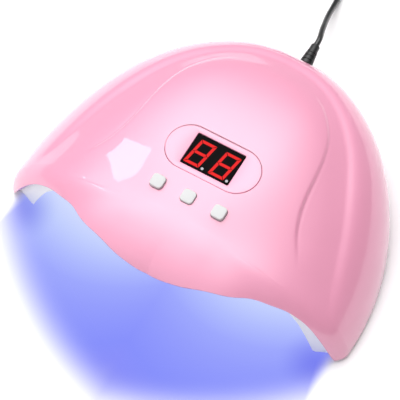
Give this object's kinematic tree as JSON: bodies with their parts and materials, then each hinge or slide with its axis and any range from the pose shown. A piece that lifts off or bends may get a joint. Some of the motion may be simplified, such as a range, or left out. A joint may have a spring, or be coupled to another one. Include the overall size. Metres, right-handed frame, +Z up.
{
  "type": "uv led nail lamp",
  "caption": "Domed desktop nail-curing lamp with a wide arched hand opening, LED strips inside, a two-digit timer display, push buttons and a cord with a USB plug.",
  "frame": {"origin": "middle of the lamp's footprint without the cord, on the surface it stands on", "axes": "+Z up, -Y out of the hand opening, +X to the right of someone looking into the opening"},
  "size_m": [0.191, 0.2623, 0.0561],
  "materials": {
    "shell_pink": "high gloss moulded ABS",
    "liner_white": "satin white moulded ABS",
    "led_board": "white solder mask",
    "led_lens": "clear moulded lens, lit violet",
    "sensor_clear": "water clear epoxy",
    "sensor_dark": "dark epoxy",
    "display_glass": "polished black acrylic",
    "module_black": "fine satin",
    "button_white": "soft gloss",
    "steel": "zinc plated",
    "circuit_board": "green solder mask",
    "connector_white": "fine satin",
    "cord_black": "semi gloss PVC",
    "foot_rubber": "matte rubber",
    "tie_black": "woven hook and loop",
    "plug_black": "semi gloss PVC overmould",
    "plug_metal": "nickel plated"
  },
  "bodies": {
    "lamp": {"top_shell": "shell_pink", "led_strip_front": "led_board", "led_strip_middle": "led_board", "led_strip_rear": "led_board", "inner_liner": "liner_white", "led_bead_front_left_1": "led_lens", "led_bead_front_left_2": "led_lens", "led_bead_front_left_3": "led_lens", "led_bead_front_right_1": "led_lens", "led_bead_front_right_2": "led_lens", "led_bead_front_right_3": "led_lens", "led_bead_middle_left_1": "led_lens", "led_bead_middle_left_2": "led_lens", "led_bead_middle_left_3": "led_lens", "led_bead_middle_right_1": "led_lens", "led_bead_middle_right_2": "led_lens", "led_bead_middle_right_3": "led_lens", "led_bead_rear_left_1": "led_lens", "led_bead_rear_left_2": "led_lens", "led_bead_rear_left_3": "led_lens", "led_bead_rear_right_1": "led_lens", "led_bead_rear_right_2": "led_lens", "led_bead_rear_right_3": "led_lens", "hand_sensor_emitter": "sensor_clear", "hand_sensor_receiver": "sensor_dark", "display_bezel": "shell_pink", "display_window": "display_glass", "display_module": "module_black", "tact_switch_left": "steel", "tact_switch_center": "steel", "tact_switch_right": "steel", "key_board": "circuit_board", "main_board": "circuit_board", "board_screw_1": "steel", "board_screw_2": "steel", "board_screw_3": "steel", "board_screw_4": "steel", "power_connector": "connector_white", "power_lead": "cord_black", "case_screw_front_right": "steel", "case_screw_front_left": "steel", "case_screw_rear_right": "steel", "case_screw_rear_left": "steel", "rubber_foot_front_right": "foot_rubber", "rubber_foot_front_left": "foot_rubber", "rubber_foot_rear_right": "foot_rubber", "rubber_foot_rear_left": "foot_rubber", "strain_relief": "cord_black", "cord": "cord_black", "cord_coil": "cord_black", "usb_plug_body": "plug_black", "cord_tail": "cord_black", "usb_plug_shell": "plug_metal", "cord_tie": "tie_black"},
    "button_left": {"button_left": "button_white"},
    "plunger_left": {"switch_plunger_left": "module_black"},
    "button_center": {"button_center": "button_white"},
    "plunger_center": {"switch_plunger_center": "module_black"},
    "button_right": {"button_right": "button_white"},
    "plunger_right": {"switch_plunger_right": "module_black"}
  },
  "joints": [
    {"name": "button_left_press", "type": "slide", "parent": "lamp", "child": "button_left", "axis": [0, 0.1498, -0.9887], "range_m": [0, 0.0005], "stiffness_N_per_m": 1200},
    {"name": "plunger_left_press", "type": "slide", "parent": "lamp", "child": "plunger_left", "axis": [0, 0.1498, -0.9887], "range_m": [0, 0.0005]},
    {"name": "button_center_press", "type": "slide", "parent": "lamp", "child": "button_center", "axis": [0, 0.1498, -0.9887], "range_m": [0, 0.0005], "stiffness_N_per_m": 1200},
    {"name": "plunger_center_press", "type": "slide", "parent": "lamp", "child": "plunger_center", "axis": [0, 0.1498, -0.9887], "range_m": [0, 0.0005]},
    {"name": "button_right_press", "type": "slide", "parent": "lamp", "child": "button_right", "axis": [0, 0.1498, -0.9887], "range_m": [0, 0.0005], "stiffness_N_per_m": 1200},
    {"name": "plunger_right_press", "type": "slide", "parent": "lamp", "child": "plunger_right", "axis": [0, 0.1498, -0.9887], "range_m": [0, 0.0005]}
  ],
  "couplings": [
    {"joint": "plunger_left_press", "follows": "button_left_press", "ratio": 1},
    {"joint": "plunger_center_press", "follows": "button_center_press", "ratio": 1},
    {"joint": "plunger_right_press", "follows": "button_right_press", "ratio": 1}
  ]
}
